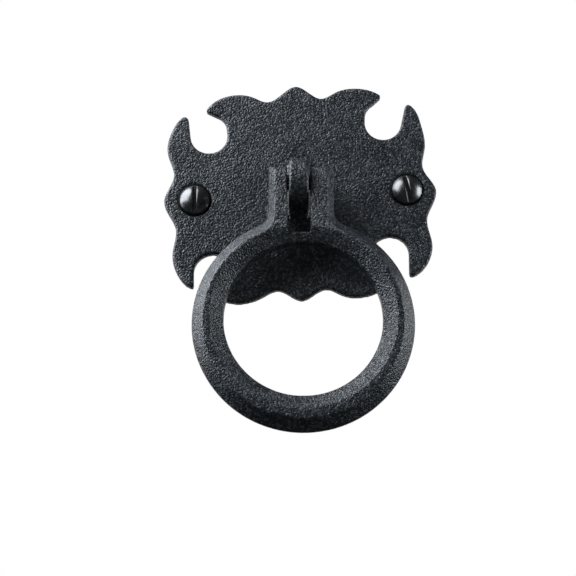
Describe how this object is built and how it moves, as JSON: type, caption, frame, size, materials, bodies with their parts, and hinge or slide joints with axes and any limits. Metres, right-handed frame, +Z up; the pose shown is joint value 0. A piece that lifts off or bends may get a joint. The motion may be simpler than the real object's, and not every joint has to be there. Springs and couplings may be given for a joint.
{
  "type": "ring pull handle",
  "caption": "Black cast-iron ring pull: a fretted scalloped back plate with a pivot lug, a bevelled ring that swings on a riveted pin, and slotted round-head fixing screws.",
  "frame": {"origin": "on the back face of the plate, midway between the two fixing screws", "axes": "+Z up as hung, +Y out of the back of the plate into the wall or drawer front, +X to the right seen from the front"},
  "size_m": [0.0595, 0.0265, 0.0799],
  "materials": {
    "black_iron": "fine sandy black coat on cast iron",
    "black_screw": "gloss black on steel"
  },
  "bodies": {
    "plate": {"back_plate": "black_iron", "fixing_screws": "black_screw"},
    "ring": {"pull_ring": "black_iron", "pivot_pin": "black_iron"}
  },
  "joints": [
    {"name": "ring_swing", "type": "hinge", "parent": "plate", "child": "ring", "pos_m": [0, -0.0069, 0.0011], "axis": [-1, 0, 0], "range_deg": [-2, 182]}
  ]
}
